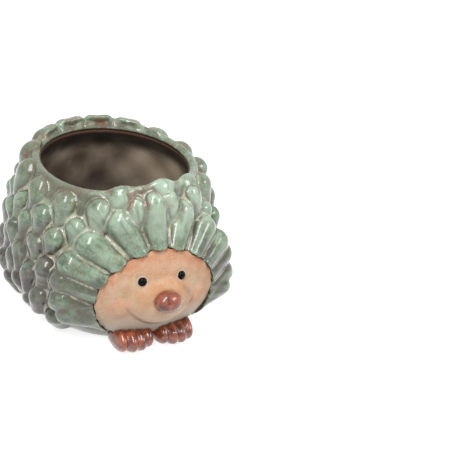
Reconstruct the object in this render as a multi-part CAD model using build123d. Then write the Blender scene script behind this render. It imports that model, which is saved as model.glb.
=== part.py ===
"""Hedgehog planter in glazed stoneware: a round pot with a head on its front, clad in rows of clay spines.

Millimetres. +Z is up and the face looks along -Y. The origin is the centre of the pot's foot, on the
surface that it stands on. Every clay piece is a solid of its own, seated on the piece that carries it.
"""
import os
from math import copysign, cos, pi, radians, sin, sqrt

from build123d import *

# Pot: a body of revolution whose wall is two arcs that meet upright at the belly
POT_HEIGHT = 74.0
FOOT_RADIUS = 39.0
BELLY_RADIUS = 51.0
BELLY_HEIGHT = 34.0
RIM_RADIUS = 41.0
WALL = 5.0
FLOOR = 6.0
LIP_ROUND = 2.3
DRAIN_RADIUS = 5.0

# Head: a dome on the pot's front, an ellipsoid cut level just above the floor
HEAD_HALF_WIDTH = 49.5
HEAD_HALF_DEPTH = 39.0
HEAD_HALF_HEIGHT = 39.0
HEAD_FORWARD = 23.0
HEAD_CENTRE_HEIGHT = 28.0
HEAD_CLEARANCE = 0.8

# Face: a thin clay pad on the head, with a crimped edge, a muzzle, a nose and two eye beads
FACE_HALF_WIDTH = 31.0
FACE_HALF_HEIGHT = 23.0
FACE_CENTRE_HEIGHT = 29.0
FACE_TOP_POWER = 1.75
FACE_LOW_POWER = 2.6
FACE_THICKNESS = 1.6
FACE_CRIMPS = 28
FACE_CRIMP_DEPTH = 0.7
FACE_CLEARANCE = 0.1
MUZZLE_HALF_WIDTH = 19.0
MUZZLE_HALF_HEIGHT = 14.0
MUZZLE_HALF_DEPTH = 15.0
MUZZLE_REACH = 6.2
MUZZLE_CENTRE_HEIGHT = 27.0
NOSE_HALF_WIDTH = 7.0
NOSE_HALF_HEIGHT = 5.2
NOSE_HALF_DEPTH = 5.0
NOSE_CENTRE_HEIGHT = 31.0
NOSE_SEAT = 4.6
EYE_RADIUS = 2.2
EYE_SPACING = 21.0
EYE_HEIGHT = 39.2
EYE_PROUD = 1.3
EYE_CLEARANCE = 0.05

# Paws: two pads of toes side by side under the chin
PAW_SPACING = 22.0
PAW_TOES = 4
PAW_FRONT = 67.0
PAW_FAN = 2.2
TOE_PITCH = 4.5
TOE_HALF_WIDTH = 3.7
TOE_HALF_LENGTH = 10.0
TOE_HALF_HEIGHT = 6.2
TOE_SINK = 1.0

# Spines: teardrops of clay, round at the tip and narrower at the root, lying on the pot tip upwards
SPINE_ROWS = 7
SPINES_ROUND = 16
SPINE_FIRST_HEIGHT = 10.5
SPINE_LENGTH = 8.0
SPINE_TIP_SHARE = 0.64
SPINE_ROOT_SHARE = 0.56
SPINE_SINK = 2.6
SPINE_TILT = 9.0
SPINE_LEAST_SHARE = 0.4
SPINE_FRONT_SECTOR = 30.0

# Rim spines: the top row, slim and below the lip at the front, a broad flat crown over it at the back
RIM_FRONT_DROP = 14.0
RIM_BACK_DROP = 9.5
RIM_LENGTH = 13.0
RIM_FRONT_SHARE = 0.7
RIM_BACK_SHARE = 1.0
RIM_TAPER = 0.8
RIM_PROUD = 3.6

# Collar spines: long ones that fan out from the edge of the face, one at the top and a pair at each lower angle
COLLAR_ANGLES = (90.0, 71.0, 48.0, 25.0, 2.0, -24.0, -50.0)
COLLAR_LOWEST_HEADING = 14.0
COLLAR_LENGTH = 20.5
COLLAR_TIP_RADIUS = 7.4
COLLAR_ROOT_RADIUS = 5.2
COLLAR_SINK = 1.8
COLLAR_LIFT = 0.6
COLLAR_DROP = 5.0
COLLAR_UNDERLAP = 3.5

CENTRE = Vector(0, 0, 0)


def bulge(end_radius, end_height):
    """Radius of the arc that leaves the belly upright and reaches the given end of the wall."""
    inset = BELLY_RADIUS - end_radius
    rise = end_height - BELLY_HEIGHT
    return (inset ** 2 + rise ** 2) / (2 * inset)


UPPER_ARC = bulge(RIM_RADIUS, POT_HEIGHT)
LOWER_ARC = bulge(FOOT_RADIUS, 0.0)


def arc_at(height):
    return UPPER_ARC if height > BELLY_HEIGHT else LOWER_ARC


def pot_radius(height, inset=0.0):
    """Radius of the pot's wall at a height, the given distance inside its outer surface."""
    arc = arc_at(height)
    return BELLY_RADIUS - arc + sqrt((arc - inset) ** 2 - (height - BELLY_HEIGHT) ** 2)


def wall_arc(low, high, inset=0.0):
    """The stretch of wall between two heights on one side of the belly, as an arc in the XZ plane."""
    heights = (low, (low + high) / 2, high)
    return ThreePointArc(*(Vector(pot_radius(height, inset), 0, height) for height in heights))


def ellipsoid(half_sizes, centre):
    """An ellipsoid with half sizes along X, Y and Z, its surface's seam at the back."""
    half_width, half_depth, half_height = half_sizes
    ball = scale(Sphere(1.0), by=(half_depth, half_width, half_height))
    return Pos(*centre) * Rot(0, 0, 90) * ball


def largest(shape):
    """The main solid of a cut, without the crumbs that a cut can leave."""
    return max(shape.solids(), key=lambda solid: solid.volume)


MOUTH_RADIUS = pot_radius(POT_HEIGHT, WALL)
HEAD_CENTRE = Vector(0, -HEAD_FORWARD, HEAD_CENTRE_HEIGHT)
HEAD_HALF_SIZES = (HEAD_HALF_WIDTH, HEAD_HALF_DEPTH, HEAD_HALF_HEIGHT)
FACE_HALF_SIZES = tuple(size + FACE_THICKNESS for size in HEAD_HALF_SIZES)
BODY_CENTRE = Vector(0, 0, FACE_CENTRE_HEIGHT)
RIM_FRONT_HEIGHT = POT_HEIGHT - RIM_FRONT_DROP
SPINE_ROW_PITCH = (RIM_FRONT_HEIGHT - SPINE_FIRST_HEIGHT) / SPINE_ROWS
SPINE_STEP = 360.0 / SPINES_ROUND


def head_depth(x, height, half_sizes=HEAD_HALF_SIZES):
    """How far forward the head's dome stands at a place seen from the front, as a distance along -Y."""
    rest = 1 - (x / half_sizes[0]) ** 2 - ((height - HEAD_CENTRE_HEIGHT) / half_sizes[2]) ** 2
    return HEAD_FORWARD + half_sizes[1] * sqrt(rest)


def pot_core():
    """The pot's outer form without its hollow, raised over the lip so that no spine leans into the mouth."""
    outline = [
        Line(CENTRE, Vector(FOOT_RADIUS, 0, 0)),
        wall_arc(0, BELLY_HEIGHT),
        wall_arc(BELLY_HEIGHT, POT_HEIGHT),
        Line(Vector(RIM_RADIUS, 0, POT_HEIGHT), Vector(0, 0, POT_HEIGHT)),
        Line(Vector(0, 0, POT_HEIGHT), CENTRE),
    ]
    guard_radius = (RIM_RADIUS + MOUTH_RADIUS) / 2
    guard = Pos(0, 0, POT_HEIGHT) * Cylinder(guard_radius, POT_HEIGHT / 2)
    return revolve(make_face(outline), Axis.Z) + guard


def make_pot_base():
    """The pot's floor: a slab with a flat foot, its edge in line with the wall, and the drain hole."""
    edge = Vector(pot_radius(FLOOR), 0, FLOOR)
    outline = [
        Line(CENTRE, Vector(FOOT_RADIUS, 0, 0)),
        wall_arc(0, FLOOR),
        Line(edge, Vector(0, 0, FLOOR)),
        Line(Vector(0, 0, FLOOR), CENTRE),
    ]
    return largest(revolve(make_face(outline), Axis.Z) - Cylinder(DRAIN_RADIUS, 4 * FLOOR))


def make_pot_wall():
    """The pot's wall, an open ring that stands on the base and ends in a rounded lip."""
    outline = [
        wall_arc(FLOOR, BELLY_HEIGHT),
        wall_arc(BELLY_HEIGHT, POT_HEIGHT),
        Line(Vector(RIM_RADIUS, 0, POT_HEIGHT), Vector(MOUTH_RADIUS, 0, POT_HEIGHT)),
        wall_arc(BELLY_HEIGHT, POT_HEIGHT, WALL),
        wall_arc(FLOOR, BELLY_HEIGHT, WALL),
        Line(Vector(pot_radius(FLOOR, WALL), 0, FLOOR), Vector(pot_radius(FLOOR), 0, FLOOR)),
    ]
    wall = revolve(make_face(outline), Axis.Z)
    lip_edges = wall.edges().filter_by_position(Axis.Z, POT_HEIGHT - 0.01, POT_HEIGHT + 0.01)
    return largest(fillet(lip_edges, LIP_ROUND))


def ground():
    """Everything below the level at which the head and the spines end, clear of the floor."""
    reach = 4 * (BELLY_RADIUS + HEAD_FORWARD)
    return Pos(0, 0, HEAD_CLEARANCE - reach / 2) * Box(reach, reach, reach)


def front_of(dome, limit):
    """The part of the head's dome in front of a limit along Y, behind which the pot hides it."""
    reach = 4 * HEAD_HALF_WIDTH
    return dome - Pos(0, limit + reach / 2, HEAD_CENTRE_HEIGHT) * Box(reach, reach, reach)


def make_head(dome, core):
    """The head's dome where it stands out of the pot."""
    return largest(dome - ground() - core)


def face_edge(turn, grow):
    """A place on the edge of the face, pointed above and full below, seen from the front, as X and height."""
    power = 2 / (FACE_TOP_POWER if sin(turn) > 0 else FACE_LOW_POWER)
    x = (FACE_HALF_WIDTH + grow) * copysign(abs(cos(turn)) ** power, cos(turn))
    rise = (FACE_HALF_HEIGHT + grow) * copysign(abs(sin(turn)) ** power, sin(turn))
    return x, FACE_CENTRE_HEIGHT + rise


def crimp_corner(crimps, grow):
    """The place a number of crimps along the face's edge, grown by a distance, in the XZ plane."""
    x, height = face_edge(crimps * 2 * pi / FACE_CRIMPS, grow)
    return Vector(x, 0, height)


def forward_prism(outline):
    """A prism from the pot's middle along -Y past the nose, on an outline in the XZ plane."""
    reach = HEAD_FORWARD + HEAD_HALF_DEPTH + MUZZLE_REACH + MUZZLE_HALF_DEPTH
    return extrude(make_face(outline), amount=reach, dir=(0, -1, 0))


def face_window():
    """The prism through the face's crimped edge: one small outward arc for each crimp."""
    crimps = [
        ThreePointArc(crimp_corner(i, 0), crimp_corner(i + 0.5, FACE_CRIMP_DEPTH), crimp_corner(i + 1, 0))
        for i in range(FACE_CRIMPS)
    ]
    return forward_prism(crimps)


def face_opening():
    """The prism through the smooth opening that the collar spines leave round the face, clear of its crimps."""
    grow = FACE_CRIMP_DEPTH + FACE_CLEARANCE
    return forward_prism([Spline(*(crimp_corner(i, grow) for i in range(FACE_CRIMPS)), periodic=True)])


def muzzle_centre():
    """Centre of the muzzle, set so that the muzzle stands MUZZLE_REACH out of the face."""
    front = head_depth(0, MUZZLE_CENTRE_HEIGHT, FACE_HALF_SIZES) + MUZZLE_REACH
    return Vector(0, MUZZLE_HALF_DEPTH - front, MUZZLE_CENTRE_HEIGHT)


def make_nose():
    """The nose, sunk NOSE_SEAT into the front of the muzzle."""
    lift = (NOSE_CENTRE_HEIGHT - MUZZLE_CENTRE_HEIGHT) / MUZZLE_HALF_HEIGHT
    front = MUZZLE_HALF_DEPTH * sqrt(1 - lift ** 2) - muzzle_centre().Y
    centre = Vector(0, NOSE_SEAT - NOSE_HALF_DEPTH - front, NOSE_CENTRE_HEIGHT)
    return largest(ellipsoid((NOSE_HALF_WIDTH, NOSE_HALF_DEPTH, NOSE_HALF_HEIGHT), centre))


def eye_seat(side):
    """The plane that touches the face's surface at an eye and looks out of the face."""
    x = side * EYE_SPACING / 2
    y = -head_depth(x, EYE_HEIGHT, FACE_HALF_SIZES)
    offsets = Vector(x, y, EYE_HEIGHT) - HEAD_CENTRE
    normal = Vector(*(offset / half ** 2 for offset, half in zip(offsets, FACE_HALF_SIZES)))
    return Plane(origin=(x, y, EYE_HEIGHT), z_dir=normal)


def eye_ball():
    """The ball of an eye bead in its seat's own frame, standing EYE_PROUD out of the face."""
    return Pos(0, 0, EYE_PROUD - EYE_RADIUS) * Sphere(EYE_RADIUS)


def make_eye(side):
    """An eye bead, flat at its back, where it lies on the head in a hole through the face."""
    block = 4 * EYE_RADIUS
    behind = Pos(0, 0, EYE_CLEARANCE - FACE_THICKNESS - block / 2) * Box(block, block, block)
    return largest(eye_seat(side) * (eye_ball() - behind))


def make_face_pad(dome, core, beads):
    """The clay face with its muzzle, seated on the head, with a socket for the nose and for each eye."""
    skin = ellipsoid(FACE_HALF_SIZES, HEAD_CENTRE)
    muzzle = ellipsoid((MUZZLE_HALF_WIDTH, MUZZLE_HALF_DEPTH, MUZZLE_HALF_HEIGHT), muzzle_centre())
    pad = ((skin + muzzle) & face_window()) - dome - core
    for bead in beads:
        pad -= bead
    return largest(pad)


def make_paw(side, dome, core, face_pad):
    """A paw of toes that run together, flat on the floor and tucked under the chin."""
    middle = (PAW_TOES - 1) / 2
    paw = None
    for toe in range(PAW_TOES):
        place = toe - middle
        set_back = PAW_FAN * (place / middle) ** 2
        centre = (
            side * PAW_SPACING / 2 + place * TOE_PITCH,
            TOE_HALF_LENGTH + set_back - PAW_FRONT,
            TOE_HALF_HEIGHT - TOE_SINK,
        )
        pad = ellipsoid((TOE_HALF_WIDTH, TOE_HALF_LENGTH, TOE_HALF_HEIGHT), centre)
        paw = pad if paw is None else paw + pad
    below = Pos(0, -PAW_FRONT, -PAW_FRONT) * Box(4 * PAW_FRONT, 4 * PAW_FRONT, 2 * PAW_FRONT)
    return largest(paw - below - dome - core - face_pad)


def teardrop(root, tip, root_radius, tip_radius):
    """A solid with a ball at its root, a larger ball at its tip and a cone that runs smoothly into both."""
    axis = tip - root
    length = axis.length
    slope = (tip_radius - root_radius) / length
    flare = sqrt(1 - slope ** 2)

    def on_ball(radius, height, across, along):
        return Vector(radius * across, 0, height + radius * along)

    half = sqrt(0.5)
    root_turn = on_ball(root_radius, 0, flare, -slope)
    tip_turn = on_ball(tip_radius, length, flare, -slope)
    outline = [
        ThreePointArc(on_ball(root_radius, 0, 0, -1), on_ball(root_radius, 0, half, -half), root_turn),
        Line(root_turn, tip_turn),
        ThreePointArc(tip_turn, on_ball(tip_radius, length, half, half), on_ball(tip_radius, length, 0, 1)),
        Line(on_ball(tip_radius, length, 0, 1), on_ball(root_radius, 0, 0, -1)),
    ]
    drop = revolve(make_face(outline), Axis.Z)
    return Plane(origin=root, z_dir=axis) * drop


def inside_body(point):
    """Whether a place is within the pot's outer form or the head's dome."""
    in_pot = Vector(point.X, point.Y, 0).length < pot_radius(point.Z)
    offset = point - HEAD_CENTRE
    reach = sum((part / half) ** 2 for part, half in zip(offset, HEAD_HALF_SIZES))
    return in_pot or reach < 1


def halve(low, high, is_low):
    """The value between two bounds where a test that holds at the low one stops holding."""
    for _ in range(40):
        middle = (low + high) / 2
        if is_low(middle):
            low = middle
        else:
            high = middle
    return low


def body_point(direction, depth):
    """The place on the body's surface in a direction from its centre, sunk by a depth."""
    top = 0.9 * UPPER_ARC - abs(BELLY_HEIGHT - FACE_CENTRE_HEIGHT)
    distance = halve(0.0, top, lambda reach: inside_body(BODY_CENTRE + direction * reach))
    return BODY_CENTRE + direction * (distance - depth)


def collar_spine(angle):
    """A long teardrop from the edge of the face outwards over the head and the pot."""
    x, height = face_edge(radians(angle), -COLLAR_UNDERLAP)
    steepness = (max(angle, 0.0) / 90) ** 2
    heading = radians(COLLAR_LOWEST_HEADING + steepness * (90 - COLLAR_LOWEST_HEADING))
    start = (Vector(x, -head_depth(x, height), height) - BODY_CENTRE).normalized()
    outward = Vector(cos(heading), 0, sin(heading))
    across = (outward - start * outward.dot(start)).normalized()
    root = body_point(start, COLLAR_SINK)

    def tip_at(turn):
        return body_point(start * cos(turn) + across * sin(turn), COLLAR_SINK - COLLAR_LIFT)

    def too_short(turn):
        tip = tip_at(turn)
        return (tip - root).length < COLLAR_LENGTH and tip.Z < POT_HEIGHT - COLLAR_DROP

    tip = tip_at(halve(0.0, pi / 2, too_short))
    return teardrop(root, tip, COLLAR_ROOT_RADIUS, COLLAR_TIP_RADIUS)


def cut(solid, tools):
    """What is left of a solid outside some others, as its main piece, or None."""
    for tool in tools:
        pieces = (solid - tool).solids()
        if not pieces:
            return None
        solid = max(pieces, key=lambda piece: piece.volume)
    return solid


def boxed(solids):
    """Each solid with its bounding box, which is slow to work out."""
    return [(solid, solid.bounding_box()) for solid in solids]


def uncover(spine, covers):
    """A seated spine cut where the boxed covers lie over it, or None if too little of it shows."""
    box = spine.bounding_box()
    shown = cut(spine, [cover for cover, cover_box in covers if box.overlaps(cover_box)])
    if shown is None or shown.volume < SPINE_LEAST_SHARE * spine.volume:
        return None
    return shown


def make_collar(carriers, covers):
    """The collar spines, in mirrored pairs below the top one, each one cut where it meets those above it."""
    collar = []
    for angle in COLLAR_ANGLES:
        spine = uncover(cut(collar_spine(angle), carriers), [*covers, *boxed(collar[-2:])])
        if spine is not None:
            collar.append(spine)
        if spine is not None and angle < 90:
            collar.append(mirror(spine, about=Plane.YZ))
    return collar


def body_radius(turn, height):
    """Distance from the pot's axis to the body's surface at a height, a turn away from the front."""
    outward = Vector(sin(radians(turn)), -cos(radians(turn)), 0)
    middle = Vector(0, 0, height)
    return halve(0.0, 2 * BELLY_RADIUS, lambda reach: inside_body(middle + outward * reach))


def backness(turn):
    """How far a place has turned from the front, 0, to the back, 1."""
    return ((1 - cos(radians(turn))) / 2) ** 2


def row_height(row, turn):
    """Height of a row's spines, which differs along the rim row alone: it climbs towards the back."""
    climb = (RIM_FRONT_DROP - RIM_BACK_DROP) * backness(turn)
    return SPINE_FIRST_HEIGHT + row * SPINE_ROW_PITCH + (climb if row == SPINE_ROWS else 0.0)


def spine_sizes(row, turn):
    """Length, root radius, tip radius and sunk depth of a row's spine, in keeping with the room that it has."""
    room = pi * pot_radius(row_height(row, turn)) / SPINES_ROUND
    if row < SPINE_ROWS:
        return SPINE_LENGTH, room * SPINE_ROOT_SHARE, room * SPINE_TIP_SHARE, SPINE_SINK
    tip_radius = room * (RIM_FRONT_SHARE + (RIM_BACK_SHARE - RIM_FRONT_SHARE) * backness(turn))
    return RIM_LENGTH, tip_radius * RIM_TAPER, tip_radius, tip_radius - RIM_PROUD


def row_spine(row, turn):
    """A row's teardrop on the body, its tip upwards and standing out."""
    length, root_radius, tip_radius, sink = spine_sizes(row, turn)
    height = row_height(row, turn)
    lean = (BELLY_HEIGHT - height) / arc_at(height)
    upright = sqrt(1 - lean ** 2)
    along = Vector(0, -lean, upright)
    normal = Vector(0, -upright, -lean)
    axis = along * cos(radians(SPINE_TILT)) + normal * sin(radians(SPINE_TILT))
    middle = Vector(0, -body_radius(turn, height), height) - normal * sink
    half_axis = axis * (length / 2)
    return Rot(0, 0, turn) * teardrop(middle - half_axis, middle + half_axis, root_radius, tip_radius)


def tips_below(row, turn):
    """The teardrops of lower rows whose tips lie over the root of a row's spine."""
    beside = [row_spine(row - 1, turn + side * SPINE_STEP / 2) for side in (-1, 1) if row > 0]
    under = [row_spine(row - 2, turn)] if row > 1 else []
    return beside + under


def make_row(row, core, head_front, covers):
    """One row of spines round the body, every second row turned by half a step, with none in the collar."""
    at_rim = row == SPINE_ROWS
    back_pattern = Rot(0, 0, -180) * cut(row_spine(row, 180), [core, *tips_below(row, 180)])
    first = SPINE_STEP / 2 * ((SPINE_ROWS - row + 1) % 2)
    row_turns = [first + SPINE_STEP * index for index in range(SPINES_ROUND // 2 + 1)]
    spines = []
    for turn in row_turns:
        if turn > 180 or (turn < SPINE_FRONT_SECTOR and not at_rim):
            continue
        height = row_height(row, turn)
        on_head = body_radius(turn, height) > pot_radius(height)
        if on_head or at_rim:
            spine = cut(row_spine(row, turn), [core, head_front, *tips_below(row, turn)])
        else:
            spine = Rot(0, 0, turn) * back_pattern
        shown = uncover(spine, covers)
        if shown is not None:
            spines.append(shown)
        if shown is not None and 0 < turn < 180:
            spines.append(mirror(shown, about=Plane.YZ))
    return spines


def build():
    """Every piece of the planter by its name."""
    core = pot_core()
    dome = ellipsoid(HEAD_HALF_SIZES, HEAD_CENTRE)
    nose = make_nose()
    eye_balls = [eye_seat(side) * eye_ball() for side in (-1, 1)]
    face_pad = make_face_pad(dome, core, [nose, *eye_balls])
    pieces = {
        "pot_base": make_pot_base(),
        "pot_wall": make_pot_wall(),
        "head": make_head(dome, core),
        "face": face_pad,
        "nose": nose,
        "left_eye": make_eye(1),
        "right_eye": make_eye(-1),
        "left_paw": make_paw(1, dome, core, face_pad),
        "right_paw": make_paw(-1, dome, core, face_pad),
    }
    head_front = front_of(dome, pieces["head"].bounding_box().max.Y)
    collar_covers = [ground(), face_opening(), pieces["left_paw"], pieces["right_paw"]]
    collar = make_collar([core, head_front], boxed(collar_covers))
    pieces["collar_spines"] = Compound(children=collar)
    row_covers = boxed([head_front, ground(), *collar])
    for row in range(SPINE_ROWS):
        pieces[f"spine_row_{row + 1}"] = Compound(children=make_row(row, core, head_front, row_covers))
    pieces["rim_spines"] = Compound(children=make_row(SPINE_ROWS, core, head_front, row_covers))
    return pieces


os.makedirs("parts", exist_ok=True)
for name, piece in build().items():
    export_step(piece, f"parts/{name}.step")
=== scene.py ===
"""The look of the hedgehog planter: a glazed skin over pot, head and spines, a clay face, nose, eyes, paws.

Metres, in the frame of the CAD parts: +Z is up, the face looks along -Y and the origin is under the pot.
"""
import math

import bmesh
import bpy
import numpy as np
from mathutils import Matrix, Vector
from mathutils.bvhtree import BVHTree


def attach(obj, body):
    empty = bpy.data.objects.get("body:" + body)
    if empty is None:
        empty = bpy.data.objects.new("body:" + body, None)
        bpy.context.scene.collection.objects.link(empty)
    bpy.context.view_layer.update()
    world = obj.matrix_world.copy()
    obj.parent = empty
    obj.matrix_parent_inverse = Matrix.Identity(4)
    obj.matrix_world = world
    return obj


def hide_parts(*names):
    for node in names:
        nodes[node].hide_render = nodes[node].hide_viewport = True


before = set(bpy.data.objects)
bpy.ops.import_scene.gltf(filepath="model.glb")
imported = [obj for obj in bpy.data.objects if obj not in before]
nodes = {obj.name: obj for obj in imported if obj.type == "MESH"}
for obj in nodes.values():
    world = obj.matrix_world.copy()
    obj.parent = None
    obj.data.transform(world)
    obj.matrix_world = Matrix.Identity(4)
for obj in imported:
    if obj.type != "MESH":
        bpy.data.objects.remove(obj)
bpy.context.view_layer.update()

MM = 0.001
BODY = "root"
SPINE_NODES = [name for name in nodes if "spine" in name]
SHELL_NODES = ["pot_base", "pot_wall", "head"]

# Camera, fitted to the photograph: degrees, metres, and the picture's pixel where the target lands
PICTURE_SIDE = 470.0
VIEW_AZIMUTH = -26.5
VIEW_ELEVATION = 29.0
VIEW_ROLL = 5.0
VIEW_DISTANCE = 0.62
VIEW_FIELD = 22.3
VIEW_TARGET = Vector((0.0, 0.0, 35 * MM))
TARGET_PIXEL = (109.5, 226.0)

TINY = 1e-6
JOIN_DISTANCE = 1e-7
SMOOTHING_SHARE = 0.5

# Skin: its voxel, rounds of smoothing, how far grooves are deepened, and where the pot's inner side lies
SKIN_VOXEL = 0.7 * MM
SKIN_SMOOTHING = 4
GROOVE_SMOOTHING = 30
RELIEF = 0.5
INNER_REACH = 38 * MM
UNDERSIDE = 3 * MM
NECK_HEIGHT = 60 * MM
NEAR_WALL = 3 * MM
CREASE_SMOOTHING = 8
WELL_SMOOTHING = 3

# Dents in the pot's inner side: how deep and how many, and where they fade out under the lip and at the floor
DENT_DEPTH = 0.9 * MM
DENTS_ROUND = 12
DENT_ROW_PITCH = 13 * MM
DENT_LIP_GAP = 6 * MM
DENT_FLOOR_GAP = 8 * MM
DENT_FADE = 6 * MM

# The crown at the back: how far the notches between its spines are filled, where (heights, degrees from the
# front), and how steeply upward the filling goes at the top
RIM_SPINES_ROUND = 16
CROWN_FILL = 2.6 * MM
CROWN_FOOT = 60 * MM
CROWN_TOP = 75 * MM
CROWN_START_TURN = 120.0
CROWN_FULL_TURN = 148.0
CROWN_STEEPNESS = 80.0

# The lower body, fuller towards both sides than a turned pot
FULL_HEIGHT = 8 * MM
FULL_REACH = 27 * MM
FULL_PUSH = 5.0 * MM
FULL_START = 31 * MM
FULL_END = 43 * MM

# Hand-made unevenness of the spines on flanks and back: degrees round, and lengths up and out, each in waves
# that are given by how many go round the pot and by the height over which they lean
UNEVEN_SWING = 1.5
UNEVEN_RISE = 0.8 * MM
UNEVEN_SWELL = 0.8 * MM
SWING_WAVES = ((5, 9 * MM), (8, -13 * MM))
RISE_WAVES = ((7, 15 * MM), (3, -8 * MM))
SWELL_WAVES = ((11, 7 * MM),)
UNEVEN_START_TURN = 55.0
UNEVEN_FULL_TURN = 75.0
UNEVEN_FADE = 10 * MM
UNEVEN_LOW = 5 * MM
UNEVEN_HIGH = 70 * MM

# Lumps on the lip over the brow: degrees from the front, one place outward and up, and one size for all
LUMP_TURNS = (-20.0, 9.0, 37.0)
LUMP_PLACE = (40.0 * MM, 70.0 * MM)
LUMP_RADIUS = 9.5 * MM
LUMP_HEIGHT = 2.8 * MM
LUMP_INNER_FADE = 3 * MM

# The lip's hand-made waves: where each one is (degrees from the front), how wide and how high
LIP_WAVES = ((3.0, 30.0, 5.2 * MM), (180.0, 70.0, 1.5 * MM))
WAVE_FOOT = 58 * MM
WAVE_TOP = 74 * MM

# Face and paws
FACE_VOXEL = 0.4 * MM
FACE_EDGE_BAND = 2.0 * MM
FACE_EDGE_FADE = 3
FACE_FRONT_LIMIT = -0.3
FACE_SMOOTHING = 60
EDGE_SMOOTHING = 3
SMILE_HALF_WIDTH = 17.0 * MM
SMILE_MIDDLE_HEIGHT = 14.5 * MM
SMILE_RISE = 10.0 * MM
SMILE_DEPTH = 2.0 * MM
SMILE_SPREAD = 1.2 * MM
SMILE_FADE_WIDTH = 1.12
SMILE_FADE_POWER = 0.35
CHEEK_PLACE = (21.0 * MM, 25.0 * MM)
CHEEK_RADIUS = 7.0 * MM
CHEEK_HEIGHT = 1.6 * MM
SOCKET_RADIUS = 4.2 * MM
SOCKET_DEPTH = 0.9 * MM
WRINKLE_START = (0.4 * MM, -5.4 * MM)
WRINKLE_END = (4.2 * MM, -9.6 * MM)
WRINKLE_SPREAD = 1.1 * MM
WRINKLE_STRENGTH = 0.4
PAW_VOXEL = 0.4 * MM
PAW_SMOOTHING = 8

# Streaks: round the middle of the face, the pale ones painted highlight and the dark ones in the glaze, and in
# the glaze down the flanks
STREAK_HEIGHT = 28 * MM
STREAK_REACH = 34 * MM
STREAK_STRETCH = 0.16
DRIP_STRETCH = 0.22

# Floor and light
FLOOR_HALF = 1.5
FLOOR_GLOW = 0.8
WORLD_LEVEL = 0.2
KEY_PLACE = (-0.3, -0.3, 0.85)
KEY_SIZE = (0.22, 0.9)
KEY_POWER = 8.5
SIDE_PLACE = (0.5, -0.45, 0.6)
SIDE_SIZE = (0.4, 0.2)
SIDE_POWER = 2.6
LAMP_TARGET = Vector((0.0, 0.0, 0.04))


def mesh_object(name, mesh):
    piece = bpy.data.objects.new(name, mesh)
    bpy.context.scene.collection.objects.link(piece)
    return piece


def evaluated_mesh(piece):
    """The mesh that a piece's modifiers give, as a new mesh without modifiers."""
    depsgraph = bpy.context.evaluated_depsgraph_get()
    return bpy.data.meshes.new_from_object(piece.evaluated_get(depsgraph))


def positions(mesh):
    flat = np.empty(len(mesh.vertices) * 3, np.float32)
    mesh.vertices.foreach_get("co", flat)
    return flat.reshape(-1, 3).astype(float)


def set_positions(mesh, points):
    mesh.vertices.foreach_set("co", points.astype(np.float32).ravel())
    mesh.update()


def edge_pairs(mesh):
    flat = np.empty(len(mesh.edges) * 2, np.int32)
    mesh.edges.foreach_get("vertices", flat)
    return flat.reshape(-1, 2)


def smoothed(values, pairs, rounds):
    """Values at points drawn towards the mean of their neighbours a number of times."""
    count = np.bincount(pairs.ravel(), minlength=len(values)).clip(1)
    columns = values.reshape(len(values), -1).T.copy()
    for _ in range(rounds):
        for column in columns:
            total = np.bincount(pairs[:, 0], column[pairs[:, 1]], len(column))
            total += np.bincount(pairs[:, 1], column[pairs[:, 0]], len(column))
            column += SMOOTHING_SHARE * (total / count - column)
    return columns.T.reshape(values.shape)


def normals(mesh):
    flat = np.empty(len(mesh.vertices) * 3, np.float32)
    mesh.vertex_normals.foreach_get("vector", flat)
    return flat.reshape(-1, 3).astype(float)


def set_attribute(mesh, name, values):
    layer = mesh.attributes.new(name, "FLOAT", "POINT")
    layer.data.foreach_set("value", np.asarray(values, np.float32))


def joined_copy(name, node_names):
    """One mesh with copies of CAD nodes' meshes, closed again at their shared edges."""
    work = bmesh.new()
    for node in node_names:
        work.from_mesh(nodes[node].data)
    bmesh.ops.remove_doubles(work, verts=work.verts, dist=JOIN_DISTANCE)
    mesh = bpy.data.meshes.new(name)
    work.to_mesh(mesh)
    work.free()
    return mesh


def remeshed(name, node_names, voxel):
    """An object with one even skin round all the closed forms of some CAD nodes."""
    piece = mesh_object(name, joined_copy(name, node_names))
    step = piece.modifiers.new("skin", "REMESH")
    step.mode = "VOXEL"
    step.voxel_size = voxel
    fine = evaluated_mesh(piece)
    piece.modifiers.clear()
    piece.data = fine
    fine.polygons.foreach_set("use_smooth", [True] * len(fine.polygons))
    return piece


def finish_piece(piece, material, slot, *replaced):
    piece.data.materials.append(material)
    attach(piece, BODY)
    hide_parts(*replaced)


def hollowness(mesh, rounds):
    """How deep each point lies below its smoothed surroundings, in mm: more rounds find wider hollows."""
    points = positions(mesh)
    return ((smoothed(points, edge_pairs(mesh), rounds) - points) * normals(mesh)).sum(1) / MM


def well_depth(points):
    """How far below the lip each point lies on the pot's inner side, and -1 mm on the outer side."""
    wall_mesh = nodes["pot_wall"].data
    wall = BVHTree.FromPolygons(
        [vertex.co for vertex in wall_mesh.vertices],
        [polygon.vertices for polygon in wall_mesh.polygons],
    )
    reach = np.hypot(points[:, 0], points[:, 1])
    height = points[:, 2]
    inner = (reach < INNER_REACH) & (height > UNDERSIDE) & (height < NECK_HEIGHT)
    for index in np.flatnonzero(~inner & (height > UNDERSIDE)):
        x, y, _ = points[index]
        _, normal, _, distance = wall.find_nearest(points[index])
        inner[index] = normal.x * x + normal.y * y < 0 and distance < NEAR_WALL
    lip = positions(wall_mesh)[:, 2].max()
    return np.where(inner, lip - height, -1 * MM)


def reach_of(points):
    """How far each point lies from the pot's axis, never quite 0."""
    return np.hypot(points[:, 0], points[:, 1]).clip(TINY)


def outward(points):
    """The level direction away from the pot's axis at each point."""
    return points * (1, 1, 0) / reach_of(points)[:, None]


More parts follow.
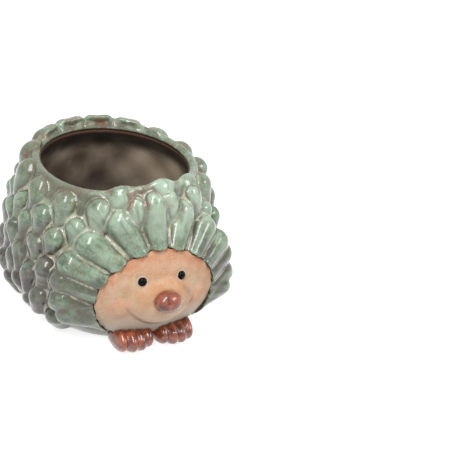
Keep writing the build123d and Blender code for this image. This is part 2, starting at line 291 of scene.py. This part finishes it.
def dented(points, depth):
    """Points with the pot's inner side dented outward in staggered rows, and the pattern of the dents."""
    turn = np.arctan2(points[:, 1], points[:, 0])
    pattern = np.cos(DENTS_ROUND * turn) * np.cos(math.pi * points[:, 2] / DENT_ROW_PITCH)
    pattern = pattern * np.clip((depth - DENT_LIP_GAP) / DENT_FADE, 0, 1)
    pattern = pattern * np.clip((points[:, 2] - DENT_FLOOR_GAP) / DENT_FADE, 0, 1)
    return points + outward(points) * (DENT_DEPTH * pattern)[:, None], pattern


def turn_from_front(points):
    """Degrees that each point has turned about the pot's axis from the front, positive towards +X."""
    return np.degrees(np.arctan2(points[:, 0], -points[:, 1]))


def filled_crown(points, depth):
    """Points with the notches of the crown at the back filled to shallow ones."""
    turn = turn_from_front(points)
    notch = (1 + np.cos(np.radians(turn * RIM_SPINES_ROUND))) / 2
    behind = np.clip((np.abs(turn) - CROWN_START_TURN) / (CROWN_FULL_TURN - CROWN_START_TURN), 0, 1)
    rise = np.clip((points[:, 2] - CROWN_FOOT) / (CROWN_TOP - CROWN_FOOT), 0, 1)
    share = CROWN_FILL * notch * behind * np.clip(rise * 2, 0, 1) * (depth < 0)
    steep = math.radians(CROWN_STEEPNESS) * rise
    lift = np.outer(share * np.sin(steep), (0, 0, 1))
    return points + outward(points) * (share * np.cos(steep))[:, None] + lift


def fuller(points, depth):
    """Points with the lower body spread towards both sides, where it stands clear of the face."""
    x = points[:, 0]
    side = np.clip((np.abs(x) - FULL_START) / (FULL_END - FULL_START), 0, 1)
    push = FULL_PUSH * hump(points[:, 2] - FULL_HEIGHT, FULL_REACH) * side * (depth < 0)
    return points + np.outer(push * np.sign(x), (1, 0, 0))


def waves(turn, z, terms):
    """The sum of waves round the pot that lean with height."""
    return sum(np.sin(count * turn + z / lean) for count, lean in terms)


def uneven(points, depth):
    """Points of the flanks and back shifted in slow waves, so that no two spines are quite alike."""
    turn = np.radians(turn_from_front(points))
    z = points[:, 2]
    start = math.radians(UNEVEN_START_TURN)
    fade = np.clip((np.abs(turn) - start) / (math.radians(UNEVEN_FULL_TURN) - start), 0, 1) * (depth < 0)
    fade *= np.clip((z - UNEVEN_LOW) / UNEVEN_FADE, 0, 1) * np.clip((UNEVEN_HIGH - z) / UNEVEN_FADE, 0, 1)
    swing = math.radians(UNEVEN_SWING) * fade * waves(turn, z, SWING_WAVES)
    rise = UNEVEN_RISE * fade * waves(turn, z, RISE_WAVES)
    swell = 1 + UNEVEN_SWELL * fade * waves(turn, z, SWELL_WAVES) / reach_of(points)
    x = swell * (points[:, 0] * np.cos(swing) - points[:, 1] * np.sin(swing))
    y = swell * (points[:, 0] * np.sin(swing) + points[:, 1] * np.cos(swing))
    return np.stack((x, y, z + rise), axis=1)


def wave_lift(turn):
    """How far the lip is lifted at a turn from the front."""
    lift = 0 * turn
    for middle, width, height in LIP_WAVES:
        away = (turn - middle + 180) % 360 - 180
        lift = lift + height * np.exp(-((away / width) ** 2))
    return lift


def waved(points):
    """Points with the upper body lifted where the lip waves, above all over the brow."""
    share = np.clip((points[:, 2] - WAVE_FOOT) / (WAVE_TOP - WAVE_FOOT), 0, 1)
    return points + np.outer(wave_lift(turn_from_front(points)) * share ** 2, (0, 0, 1))


def lumped(points, depth):
    """Points with the lip over the brow swollen into a few lumps, outside the pot's inner side."""
    outer = np.clip(1 - depth / LUMP_INNER_FADE, 0, 1)
    for turn in LUMP_TURNS:
        reach, height = LUMP_PLACE
        angle = math.radians(turn)
        middle = np.array((reach * math.sin(angle), -reach * math.cos(angle), height + wave_lift(turn)))
        away = points - middle
        distance = np.linalg.norm(away, axis=1).clip(TINY)
        points = points + away * (LUMP_HEIGHT * hump(distance, LUMP_RADIUS) * outer / distance)[:, None]
    return points


def make_skin():
    """The glazed body as one skin, with how deep each point lies in a groove, a dent and the pot."""
    skin = remeshed("glazed_body", SHELL_NODES + SPINE_NODES, SKIN_VOXEL)
    mesh = skin.data
    pairs = edge_pairs(mesh)
    points = smoothed(positions(mesh), pairs, SKIN_SMOOTHING)
    depth = well_depth(points)
    relief = points - smoothed(points, pairs, GROOVE_SMOOTHING)
    points = points + relief * (RELIEF * (depth < 0))[:, None]
    points, dent = dented(points, depth)
    points = fuller(uneven(points, depth), depth)
    points = lumped(waved(filled_crown(points, depth)), depth)
    set_positions(mesh, points)
    set_attribute(mesh, "dent", dent)
    set_attribute(mesh, "hollow", hollowness(mesh, GROOVE_SMOOTHING))
    set_attribute(mesh, "crease", hollowness(mesh, CREASE_SMOOTHING))
    set_attribute(mesh, "well", smoothed(depth, pairs, WELL_SMOOTHING) / MM)
    return skin


def hump(distance, radius):
    """A smooth hump: 1 at no distance and 0 from the radius on."""
    return np.clip(1 - (distance / radius) ** 2, 0, 1) ** 2


def smile_curve(x):
    return SMILE_MIDDLE_HEIGHT + SMILE_RISE * (x / SMILE_HALF_WIDTH) ** 2


def stretch_distance(x, z, start, end):
    """Distance of points from the straight stretch between two places."""
    along = np.subtract(end, start)
    share = ((x - start[0]) * along[0] + (z - start[1]) * along[1]) / (along ** 2).sum()
    share = np.clip(share, 0, 1)
    return np.hypot(x - start[0] - share * along[0], z - start[1] - share * along[1])


def make_face():
    """The clay face: the CAD pad with a softened muzzle, cheeks, a smile, eye sockets and a wrinkle."""
    face = remeshed("clay_face", ["face"], FACE_VOXEL)
    mesh = face.data
    pairs = edge_pairs(mesh)
    points = positions(mesh)
    facing = normals(mesh)[:, 1] < FACE_FRONT_LIMIT
    rim = smoothed((~facing).astype(float), pairs, int((FACE_EDGE_BAND / FACE_VOXEL) ** 2))
    inner = np.clip(1 - FACE_EDGE_FADE * rim, 0, 1) * facing
    soft = smoothed(points, pairs, FACE_SMOOTHING)
    points = smoothed(points, pairs, EDGE_SMOOTHING)
    points += (soft - points) * inner[:, None]
    x = points[:, 0]
    z = points[:, 2]
    smile = np.exp(-(((z - smile_curve(x)) / SMILE_SPREAD) ** 2))
    smile *= hump(x, SMILE_HALF_WIDTH * SMILE_FADE_WIDTH) ** SMILE_FADE_POWER
    eye_middles = [positions(nodes[eye].data).mean(0)[[0, 2]] for eye in ("left_eye", "right_eye")]
    far_eye = max(eye_middles, key=lambda middle: middle[0])
    wrinkle = stretch_distance(x, z, far_eye + WRINKLE_START, far_eye + WRINKLE_END)
    smile = np.maximum(smile, WRINKLE_STRENGTH * np.exp(-((wrinkle / WRINKLE_SPREAD) ** 2)))
    push = SMILE_DEPTH * smile
    cheek = np.hypot(np.abs(x) - CHEEK_PLACE[0], z - CHEEK_PLACE[1])
    push -= CHEEK_HEIGHT * hump(cheek, CHEEK_RADIUS)
    eye_distance = np.minimum(*(np.hypot(x - middle[0], z - middle[1]) for middle in eye_middles))
    push += SOCKET_DEPTH * hump(eye_distance, SOCKET_RADIUS)
    points[:, 1] += push * inner
    set_positions(mesh, points)
    set_attribute(mesh, "smile", smile * inner)
    set_attribute(mesh, "edge", rim)
    set_attribute(mesh, "eye", eye_distance / MM)
    set_attribute(mesh, "cheek", cheek / MM)
    nose_middle = positions(nodes["nose"].data).mean(0)
    set_attribute(mesh, "nose", np.hypot(x - nose_middle[0], z - nose_middle[2]) / MM)
    half_size = (points.max(0) - points.min(0)) / 2
    middle = points.min(0) + half_size
    set_attribute(mesh, "outward", np.hypot((x - middle[0]) / half_size[0], (z - middle[2]) / half_size[2]))
    return face


def make_paw(node):
    """A paw whose toes run softly into each other, with how deep each point lies between them."""
    paw = remeshed("glazed_" + node, [node], PAW_VOXEL)
    mesh = paw.data
    set_positions(mesh, smoothed(positions(mesh), edge_pairs(mesh), PAW_SMOOTHING))
    set_attribute(mesh, "hollow", hollowness(mesh, GROOVE_SMOOTHING))
    return paw


def colour(red, green, blue):
    """A linear colour from sRGB steps of 0 to 255."""
    def linear(step):
        share = step / 255
        return share / 12.92 if share <= 0.04045 else ((share + 0.055) / 1.055) ** 2.4
    return (linear(red), linear(green), linear(blue), 1.0)


class Coat:
    """A material's node tree, with short calls for the nodes that the glazes and the clay share."""

    def __init__(self, name):
        self.material = bpy.data.materials.new(name)
        self.material.use_nodes = True
        self.tree = self.material.node_tree
        self.shader = self.tree.nodes["Principled BSDF"]
        self.places = self.tree.nodes.new("ShaderNodeTexCoord").outputs["Object"]
        parts = self.tree.nodes.new("ShaderNodeSeparateXYZ")
        self.tree.links.new(self.places, parts.inputs[0])
        self.x, self.y, self.z = parts.outputs

    def plug(self, value, socket):
        if isinstance(value, bpy.types.NodeSocket):
            self.tree.links.new(value, socket)
        else:
            socket.default_value = value

    def attribute(self, name):
        node = self.tree.nodes.new("ShaderNodeAttribute")
        node.attribute_name = name
        return node.outputs["Fac"]

    def noise(self, grain, seed, detail=3.0, roughness=0.55, places=None):
        """Cloudy noise around 0.5 with patches about a grain (in millimetres) wide."""
        node = self.tree.nodes.new("ShaderNodeTexNoise")
        node.noise_dimensions = "4D"
        self.plug(places or self.places, node.inputs["Vector"])
        node.inputs["W"].default_value = seed
        node.inputs["Scale"].default_value = 1 / (grain * MM)
        node.inputs["Detail"].default_value = detail
        node.inputs["Roughness"].default_value = roughness
        return node.outputs["Fac"]

    def spread_places(self):
        """Places that make noise run in streaks outward from the middle of the face."""
        turn = self.maths("ARCTAN2", self.x, self.maths("SUBTRACT", self.z, STREAK_HEIGHT))
        node = self.tree.nodes.new("ShaderNodeCombineXYZ")
        self.plug(self.times(turn, STREAK_REACH), node.inputs[0])
        self.plug(self.times(self.y, STREAK_STRETCH), node.inputs[1])
        self.plug(self.times(self.z, STREAK_STRETCH), node.inputs[2])
        return node.outputs[0]

    def drip_places(self):
        """Places that make noise run in streaks down the flanks."""
        node = self.tree.nodes.new("ShaderNodeCombineXYZ")
        self.plug(self.x, node.inputs[0])
        self.plug(self.y, node.inputs[1])
        self.plug(self.times(self.z, DRIP_STRETCH), node.inputs[2])
        return node.outputs[0]

    def band(self, value, low, high):
        """A smooth step from 0 at low to 1 at high, falling where low is the larger."""
        node = self.tree.nodes.new("ShaderNodeMapRange")
        node.interpolation_type = "SMOOTHSTEP"
        self.plug(value, node.inputs["Value"])
        node.inputs["From Min"].default_value = low
        node.inputs["From Max"].default_value = high
        return node.outputs["Result"]

    def line(self, value, level, width):
        """A thin line of 1 where a value passes a level, in a field of 0."""
        away = self.maths("ABSOLUTE", self.maths("SUBTRACT", value, level), 0.0)
        return self.band(away, width, width / 4)

    def maths(self, kind, one, other):
        node = self.tree.nodes.new("ShaderNodeMath")
        node.operation = kind
        self.plug(one, node.inputs[0])
        self.plug(other, node.inputs[1])
        return node.outputs[0]

    def times(self, *values):
        result = values[0]
        for value in values[1:]:
            result = self.maths("MULTIPLY", result, value)
        return result

    def mixed(self, share, one, other):
        """A colour between two: the first where the share is 0, the other where it is 1."""
        node = self.tree.nodes.new("ShaderNodeMix")
        node.data_type = "RGBA"
        self.plug(share, node.inputs[0])
        self.plug(one, node.inputs[6])
        self.plug(other, node.inputs[7])
        return node.outputs[2]

    def washed(self, base, tint, *shares):
        """A colour with a tint washed over it, as strong as the product of some shares."""
        return self.mixed(self.times(*shares), base, tint)

    def bump(self, height, distance):
        """Fine unevenness of the surface, as deep as a distance in millimetres."""
        node = self.tree.nodes.new("ShaderNodeBump")
        node.inputs["Strength"].default_value = 1.0
        node.inputs["Distance"].default_value = distance * MM
        self.plug(height, node.inputs["Height"])
        self.plug(node.outputs["Normal"], self.shader.inputs["Normal"])

    def finish(self, base, roughness, coat=0.0, coat_roughness=0.08):
        self.plug(base, self.shader.inputs["Base Color"])
        self.plug(roughness, self.shader.inputs["Roughness"])
        self.plug(coat, self.shader.inputs["Coat Weight"])
        self.shader.inputs["Coat Roughness"].default_value = coat_roughness
        return self.material


def spine_colour(coat, hollow, cloud, ragged_height):
    """Mottled sage green with olive patches, paler towards the top partly as painted sheen, grey low on the
    flanks, and streaks (the pale ones round the face painted highlight), specks, and crests and brow made
    paler as painted highlight.
    """
    mottle = coat.band(cloud, 0.38, 0.64)
    deep = coat.mixed(mottle, colour(80, 102, 82), colour(120, 144, 120))
    # Paler green towards the top: partly the glaze's own tone, partly painted sheen where the light falls from
    # above.
    paler_glaze_and_sheen = coat.mixed(mottle, colour(92, 118, 93), colour(142, 168, 142))
    green = coat.mixed(coat.band(ragged_height, 24 * MM, 54 * MM), deep, paler_glaze_and_sheen)
    green = coat.washed(green, colour(126, 124, 100), coat.band(coat.noise(8, 14.0), 0.5, 0.66), 0.5)
    green = coat.washed(green, colour(128, 130, 106), coat.band(coat.noise(2.4, 12.0), 0.5, 0.7), 0.4)

    grey = coat.mixed(coat.band(cloud, 0.4, 0.62), colour(52, 42, 44), colour(90, 78, 80))
    low = coat.band(ragged_height, 56 * MM, 28 * MM)
    flank = coat.maths("MAXIMUM", coat.band(coat.y, -58 * MM, -36 * MM), 0.65)
    green = coat.washed(green, grey, low, flank, 0.9)
    drip = coat.noise(3.0, 21.0, places=coat.drip_places())
    side = coat.band(coat.y, -40 * MM, -24 * MM)
    green = coat.washed(green, colour(150, 160, 140), side, coat.band(drip, 0.53, 0.68), 0.4)
    green = coat.washed(green, colour(78, 72, 62), side, coat.band(drip, 0.46, 0.33), 0.5)

    fine = coat.noise(1.1, 3.0, detail=2.0)
    clear = coat.maths("SUBTRACT", 1.0, coat.times(low, 0.75))
    green = coat.washed(green, colour(186, 194, 174), clear, coat.band(fine, 0.52, 0.66), 0.3)
    green = coat.washed(green, colour(98, 84, 66), coat.band(fine, 0.46, 0.34), 0.4)
    # Painted highlight: the crests of the spines made paler where they bulge out.
    crest = coat.band(hollow, -0.25, -0.8)
    green = coat.washed(green, colour(156, 178, 156), crest, coat.band(cloud, 0.3, 0.6), 0.45)
    # Painted highlight: a pale sheen on the spines over the brow, under the lip.
    brow = coat.times(coat.band(coat.y, -26 * MM, -44 * MM), coat.band(coat.z, 53 * MM, 66 * MM))
    green = coat.washed(green, colour(178, 198, 176), brow, coat.band(cloud, 0.25, 0.5), 0.75)
    # The pale streaks round the face are painted highlight along the spines; the dark ones are glaze tone.
    streak = coat.noise(2.6, 20.0, places=coat.spread_places())
    front = coat.band(coat.y, -22 * MM, -36 * MM)
    green = coat.washed(green, colour(160, 178, 156), front, coat.band(streak, 0.52, 0.66), 0.45)
    return coat.washed(green, colour(96, 104, 80), front, coat.band(streak, 0.47, 0.34), 0.5)


def margin_glaze_and_shade(coat, base, hollow, cloud, ragged_height):
    """The foot of each spine, where the glaze is brown and in places pale, darkened as painted shade where the
    surface lies hollow.
    """
    patch = coat.band(coat.noise(15, 18.0), 0.48, 0.6)
    thin = coat.times(patch, coat.band(ragged_height, 30 * MM, 56 * MM))
    tone = coat.mixed(thin, colour(82, 74, 60), colour(152, 160, 140))
    # Painted shade: the dark brown tone is strongest where the surface lies hollow.
    return coat.washed(base, tone, coat.band(hollow, -0.4, 0.15), coat.band(cloud, 0.25, 0.55), 0.8)


def brown_lip(coat, base, cloud):
    """The lip, browner at the sides and back and above all at the left."""
    patch = coat.band(coat.noise(5, 19.0), 0.4, 0.62)
    rim = coat.times(coat.band(coat.z, 62 * MM, 74 * MM), patch, 0.5)
    base = coat.washed(base, colour(124, 114, 95), rim, coat.band(coat.y, -44 * MM, -26 * MM))
    left = coat.times(coat.band(coat.x, -18 * MM, -34 * MM), coat.band(coat.z, 64 * MM, 74 * MM))
    return coat.washed(base, colour(98, 88, 70), left, coat.band(cloud, 0.3, 0.55), 0.55)


def groove_colour(coat, base, hollow, crease):
    """Pale gaps between the spines, with cream lines and dark lines along their deepest creases."""
    grain = coat.band(coat.noise(1.4, 4.0), 0.42, 0.6)
    pale = coat.mixed(grain, colour(182, 184, 160), colour(164, 136, 118))
    patch = coat.band(coat.noise(9, 5.0), 0.35, 0.6)
    base = coat.washed(base, pale, coat.band(hollow, 0.3, 0.6), patch, 0.45)
    line = coat.times(coat.band(crease, 0.09, 0.2), coat.band(coat.noise(7, 11.0), 0.36, 0.58), 0.75)
    base = coat.mixed(line, base, colour(196, 196, 174))
    deep_crease_line = coat.times(coat.band(crease, 0.2, 0.36), coat.band(coat.noise(9, 6.0), 0.44, 0.56), 0.9)
    return coat.mixed(deep_crease_line, base, colour(66, 48, 38))


def rusty_lip(coat, base, crease):
    """Rust near the lip, in broken lines, notches and patches, and a few spots anywhere."""
    lip = coat.band(coat.z, 64 * MM, 73 * MM)
    broken = coat.band(coat.noise(14, 15.0), 0.52, 0.6)
    vein = coat.line(coat.noise(14, 7.0, detail=2.0), 0.5, 0.03)
    base = coat.washed(base, colour(118, 76, 60), lip, vein, broken, 0.7)
    notch = coat.times(lip, coat.band(crease, 0.08, 0.2), coat.band(coat.noise(8, 13.0), 0.5, 0.6), 0.7)
    base = coat.mixed(notch, base, colour(118, 80, 62))
    patch = coat.band(coat.noise(6, 16.0), 0.55, 0.66)
    base = coat.washed(base, colour(128, 84, 68), coat.band(coat.z, 66 * MM, 74 * MM), patch, 0.6)
    return coat.washed(base, colour(150, 92, 62), coat.band(coat.noise(7, 17.0), 0.68, 0.74), 0.7)


def green_glaze():
    """Sage green glaze with painted highlight and sheen, brown with painted shade and cream in the grooves,
    rusty at the lip, and the bare inside of the pot with painted light and shade.
    """
    coat = Coat("green_glaze")
    hollow = coat.attribute("hollow")
    crease = coat.attribute("crease")
    well = coat.attribute("well")
    cloud = coat.noise(6, 2.0, detail=5.0, roughness=0.65)
    shift = coat.times(coat.maths("SUBTRACT", coat.noise(20, 1.0), 0.5), 100 * MM)
    ragged_height = coat.maths("SUBTRACT", coat.z, shift)
    outer = spine_colour(coat, hollow, cloud, ragged_height)
    outer = margin_glaze_and_shade(coat, outer, hollow, cloud, ragged_height)
    outer = brown_lip(coat, outer, cloud)
    outer = groove_colour(coat, outer, hollow, crease)
    outer = rusty_lip(coat, outer, crease)
    base = coat.mixed(coat.band(well, 1.4, 2.0), outer, inner_colour(coat, well))
    coat.bump(coat.noise(4, 8.0), 0.25)
    bare = coat.band(well, 1.5, 4.0)
    cloudy = coat.maths("ADD", coat.times(cloud, 0.3), 0.1)
    roughness = coat.maths("ADD", cloudy, coat.times(bare, 0.4))
    coat.shader.inputs["Specular IOR Level"].default_value = 0.25
    return coat.finish(base, roughness, coat=coat.times(coat.maths("SUBTRACT", 1.0, bare), 0.65))


def inner_colour(coat, well):
    """The pot's inside: a dark line under the lip, a band of painted shadow below it, then brown grey with
    blotches, painted shade in the dents and deeper down, and painted light on the right side.
    """
    blotch = coat.noise(13, 9.0, detail=2.0)
    wall = coat.mixed(coat.band(blotch, 0.35, 0.65), colour(126, 110, 97), colour(164, 148, 132))
    # Painted shade in the dents of the inner side.
    wall = coat.washed(wall, colour(82, 72, 62), coat.band(coat.attribute("dent"), 0.0, 0.9), 0.6)
    wall = coat.mixed(coat.band(coat.noise(1.2, 10.0), 0.68, 0.75), wall, colour(182, 170, 156))
    # Painted light: the inner side towards +X made paler, where the key lamp falls.
    wall = coat.washed(wall, colour(210, 192, 168), coat.band(coat.x, 12 * MM, 34 * MM), 0.8)
    # Painted shadow under the overhanging lip.
    wall = coat.washed(wall, colour(40, 34, 29), coat.band(well, 16.0, 8.0), 0.9)
    # Painted shade: darker deeper down in the pot.
    wall = coat.washed(wall, colour(56, 50, 44), coat.band(coat.z, 54 * MM, 30 * MM), 0.7)
    warm = coat.washed(wall, colour(150, 112, 92), coat.band(well, 4.4, 3.4), 0.7)
    return coat.mixed(coat.band(well, 2.9, 2.3), warm, colour(52, 34, 29))


def face_clay():
    """Matt peach clay with fine specks, warm over brow, cheeks and nose bridge, grey under the muzzle."""
    coat = Coat("face_clay")
    soft = coat.band(coat.noise(9, 21.0), 0.35, 0.65)
    base = coat.mixed(soft, colour(204, 174, 146), colour(190, 152, 120))
    base = coat.washed(base, colour(194, 146, 112), coat.band(coat.z, 36 * MM, 52 * MM), 0.6)
    patchy = coat.band(coat.noise(6, 25.0), 0.3, 0.6)
    edge = coat.times(coat.band(coat.attribute("outward"), 0.62, 0.98), coat.band(coat.z, 22 * MM, 40 * MM))
    base = coat.washed(base, colour(184, 114, 78), edge, patchy, 0.8)
    bridge = coat.times(coat.band(coat.attribute("nose"), 17.0, 9.0), coat.band(coat.z, 27 * MM, 33 * MM))
    base = coat.washed(base, colour(190, 128, 78), bridge, patchy, 0.6)
    cheek = coat.band(coat.attribute("cheek"), 9.0, 3.0)
    base = coat.washed(base, colour(196, 130, 102), cheek, patchy, 0.55)
    base = coat.washed(base, colour(190, 182, 170), coat.band(coat.z, 26 * MM, 10 * MM), 0.85)
    speck = coat.noise(0.8, 22.0, detail=1.0)
    base = coat.washed(base, colour(156, 116, 90), coat.band(speck, 0.58, 0.7), 0.35)
    base = coat.washed(base, colour(228, 206, 184), coat.band(speck, 0.38, 0.28), 0.35)
    # Painted shade in the smile and wrinkle creases.
    base = coat.washed(base, colour(118, 100, 82), coat.attribute("smile"), 0.75)
    base = coat.washed(base, colour(204, 184, 166), coat.band(coat.attribute("eye"), 3.2, 2.3), 0.6)
    ragged = coat.maths("ADD", coat.attribute("edge"), coat.times(coat.noise(2.5, 24.0), 0.25))
    base = coat.mixed(coat.band(ragged, 0.56, 0.7), base, colour(112, 70, 52))
    coat.bump(coat.noise(0.9, 23.0, detail=2.0), 0.08)
    return coat.finish(base, 0.6)


def rust_glaze(name, dark, light, seed):
    """The start of a red brown glaze: clouds between a dark and a light tone, and fine pale specks that partly
    stand for painted highlight.
    """
    coat = Coat(name)
    cloud = coat.noise(3.5, seed)
    base = coat.mixed(coat.band(cloud, 0.35, 0.65), dark, light)
    fine = coat.noise(0.9, seed + 1, detail=2.0)
    # The pale specks are partly the glaze's own specks and partly painted highlight.
    base = coat.washed(base, colour(206, 166, 148), coat.band(fine, 0.62, 0.74), 0.4)
    coat.bump(coat.noise(2.2, seed + 2), 0.12)
    return coat, base


def paw_glaze():
    coat, base = rust_glaze("paw_glaze", colour(98, 36, 15), colour(156, 76, 42), 31.0)
    # Painted shade: darker between the toes, where the paw lies hollow.
    base = coat.washed(base, colour(84, 38, 26), coat.band(coat.attribute("hollow"), 0.05, 0.3), 0.7)
    return coat.finish(base, 0.26, coat=0.85, coat_roughness=0.07)


def nose_glaze():
    coat, base = rust_glaze("nose_glaze", colour(88, 34, 20), colour(158, 84, 62), 41.0)
    coat.shader.inputs["Specular IOR Level"].default_value = 0.25
    return coat.finish(base, 0.3, coat=0.75, coat_roughness=0.1)


def eye_glaze():
    coat = Coat("eye_glaze")
    base = coat.mixed(coat.band(coat.noise(1.5, 51.0), 0.4, 0.7), colour(6, 5, 6), colour(18, 15, 15))
    coat.shader.inputs["Specular IOR Level"].default_value = 0.08
    return coat.finish(base, 0.12)


def dress_node(name, material):
    """A better material on a CAD node that keeps its shape."""
    for slot in nodes[name].material_slots:
        slot.material = material


def place_camera():
    """The camera of the photograph: it looks past the planter so that it sits in the left half."""
    azimuth, elevation, roll = (math.radians(v) for v in (VIEW_AZIMUTH, VIEW_ELEVATION, VIEW_ROLL))
    back = Vector((
        math.sin(azimuth) * math.cos(elevation),
        -math.cos(azimuth) * math.cos(elevation),
        math.sin(elevation),
    ))
    right = (-back).cross(Vector((0, 0, 1))).normalized()
    up = right.cross(-back)
    rolled_right = right * math.cos(roll) + up * math.sin(roll)
    rolled_up = up * math.cos(roll) - right * math.sin(roll)
    towards_target = Matrix((rolled_right, rolled_up, back))
    focal = PICTURE_SIDE / 2 / math.tan(math.radians(VIEW_FIELD) / 2)
    aside = TARGET_PIXEL[0] - PICTURE_SIDE / 2
    above = PICTURE_SIDE / 2 - TARGET_PIXEL[1]
    ray = Vector((aside, above, -focal)).normalized()
    turn = Vector((0, 0, -1)).rotation_difference(ray).to_matrix()
    pose = (turn @ towards_target).transposed().to_4x4()
    pose.translation = VIEW_TARGET + back * VIEW_DISTANCE
    data = bpy.data.cameras.new("camera")
    data.sensor_fit = "HORIZONTAL"
    data.angle = math.radians(VIEW_FIELD)
    camera = bpy.data.objects.new("camera", data)
    camera.matrix_world = pose
    bpy.context.scene.collection.objects.link(camera)
    bpy.context.scene.camera = camera


def white_sight(tree):
    """1 for the rays that see the surroundings as white: the camera's own, and those of gloss and glass."""
    path = tree.nodes.new("ShaderNodeLightPath")
    either = path.outputs["Is Camera Ray"]
    for name in ("Is Glossy Ray", "Is Transmission Ray"):
        node = tree.nodes.new("ShaderNodeMath")
        node.operation = "MAXIMUM"
        tree.links.new(either, node.inputs[0])
        tree.links.new(path.outputs[name], node.inputs[1])
        either = node.outputs[0]
    return either


def floor_white():
    """Pale paper with a glow for the rays that see white, so that the planter's shadow on it stays faint."""
    coat = Coat("floor_white")
    grain = coat.noise(3, 61.0)
    paper = coat.mixed(grain, colour(226, 226, 226), colour(232, 232, 232))
    coat.shader.inputs["Emission Color"].default_value = (1, 1, 1, 1)
    coat.plug(coat.times(white_sight(coat.tree), FLOOR_GLOW), coat.shader.inputs["Emission Strength"])
    coat.shader.inputs["Specular IOR Level"].default_value = 0.0
    return coat.finish(paper, 0.9)


def make_stage():
    mesh = bpy.data.meshes.new("floor")
    corners = [(x * FLOOR_HALF, y * FLOOR_HALF, 0) for x, y in ((-1, -1), (1, -1), (1, 1), (-1, 1))]
    mesh.from_pydata(corners, [], [(0, 1, 2, 3)])
    floor = mesh_object("floor", mesh)
    mesh.materials.append(floor_white())


def make_lamp(name, place, size, power):
    data = bpy.data.lights.new(name, "AREA")
    data.shape = "RECTANGLE"
    data.size, data.size_y = size
    data.energy = power
    lamp = bpy.data.objects.new(name, data)
    lamp.location = place
    lamp.rotation_euler = (LAMP_TARGET - Vector(place)).to_track_quat("-Z", "Y").to_euler()
    bpy.context.scene.collection.objects.link(lamp)


def make_light():
    """A world that looks white but lights weakly, a long key lamp above and a weaker lamp at the right."""
    world = bpy.data.worlds.new("studio")
    bpy.context.scene.world = world
    world.use_nodes = True
    tree = world.node_tree
    background = tree.nodes["Background"]
    background.inputs["Color"].default_value = (1, 1, 1, 1)
    level = tree.nodes.new("ShaderNodeMapRange")
    level.inputs["To Min"].default_value = WORLD_LEVEL
    level.inputs["To Max"].default_value = 1.0
    tree.links.new(white_sight(tree), level.inputs["Value"])
    tree.links.new(level.outputs["Result"], background.inputs["Strength"])
    make_lamp("key", KEY_PLACE, KEY_SIZE, KEY_POWER)
    make_lamp("side", SIDE_PLACE, SIDE_SIZE, SIDE_POWER)


skin = make_skin()
finish_piece(skin, green_glaze(), "green_glaze", *SHELL_NODES, *SPINE_NODES)
face = make_face()
finish_piece(face, face_clay(), "face_clay", "face")
for paw_node in ("left_paw", "right_paw"):
    finish_piece(make_paw(paw_node), paw_glaze(), "paw_glaze", paw_node)
dress_node("nose", nose_glaze())
for eye_node in ("left_eye", "right_eye"):
    dress_node(eye_node, eye_glaze())
place_camera()
make_stage()
make_light()
bpy.context.scene.view_settings.view_transform = "Standard"
